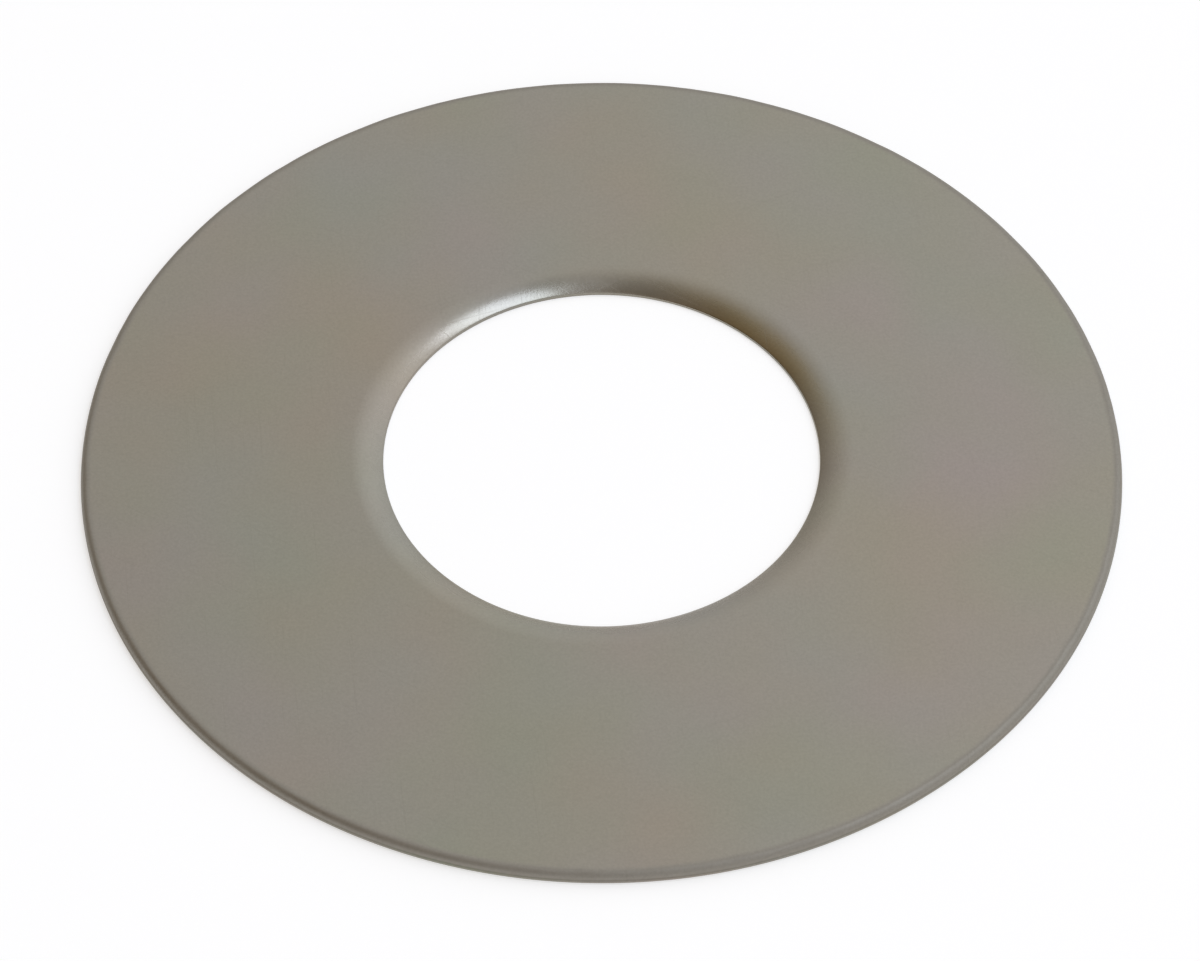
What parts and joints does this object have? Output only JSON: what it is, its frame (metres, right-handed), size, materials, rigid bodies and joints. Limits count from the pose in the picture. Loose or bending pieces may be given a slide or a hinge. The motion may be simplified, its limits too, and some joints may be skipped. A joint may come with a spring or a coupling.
{
  "type": "washer",
  "caption": "Thin flat round washer with a plain centre hole, a wide soft roll round the hole's upper edge and softly broken rim edges.",
  "frame": {"origin": "centre of the hole on the bottom face, where the washer rests", "axes": "+Z along the axis of the hole, out of the face whose hole edge is rolled; the washer is round, so X and Y are free"},
  "size_m": [0.025, 0.025, 0.0003],
  "materials": {
    "steel": "satin, tumbled, unplated stainless steel"
  },
  "bodies": {
    "root": {"washer": "steel"}
  },
  "joints": []
}
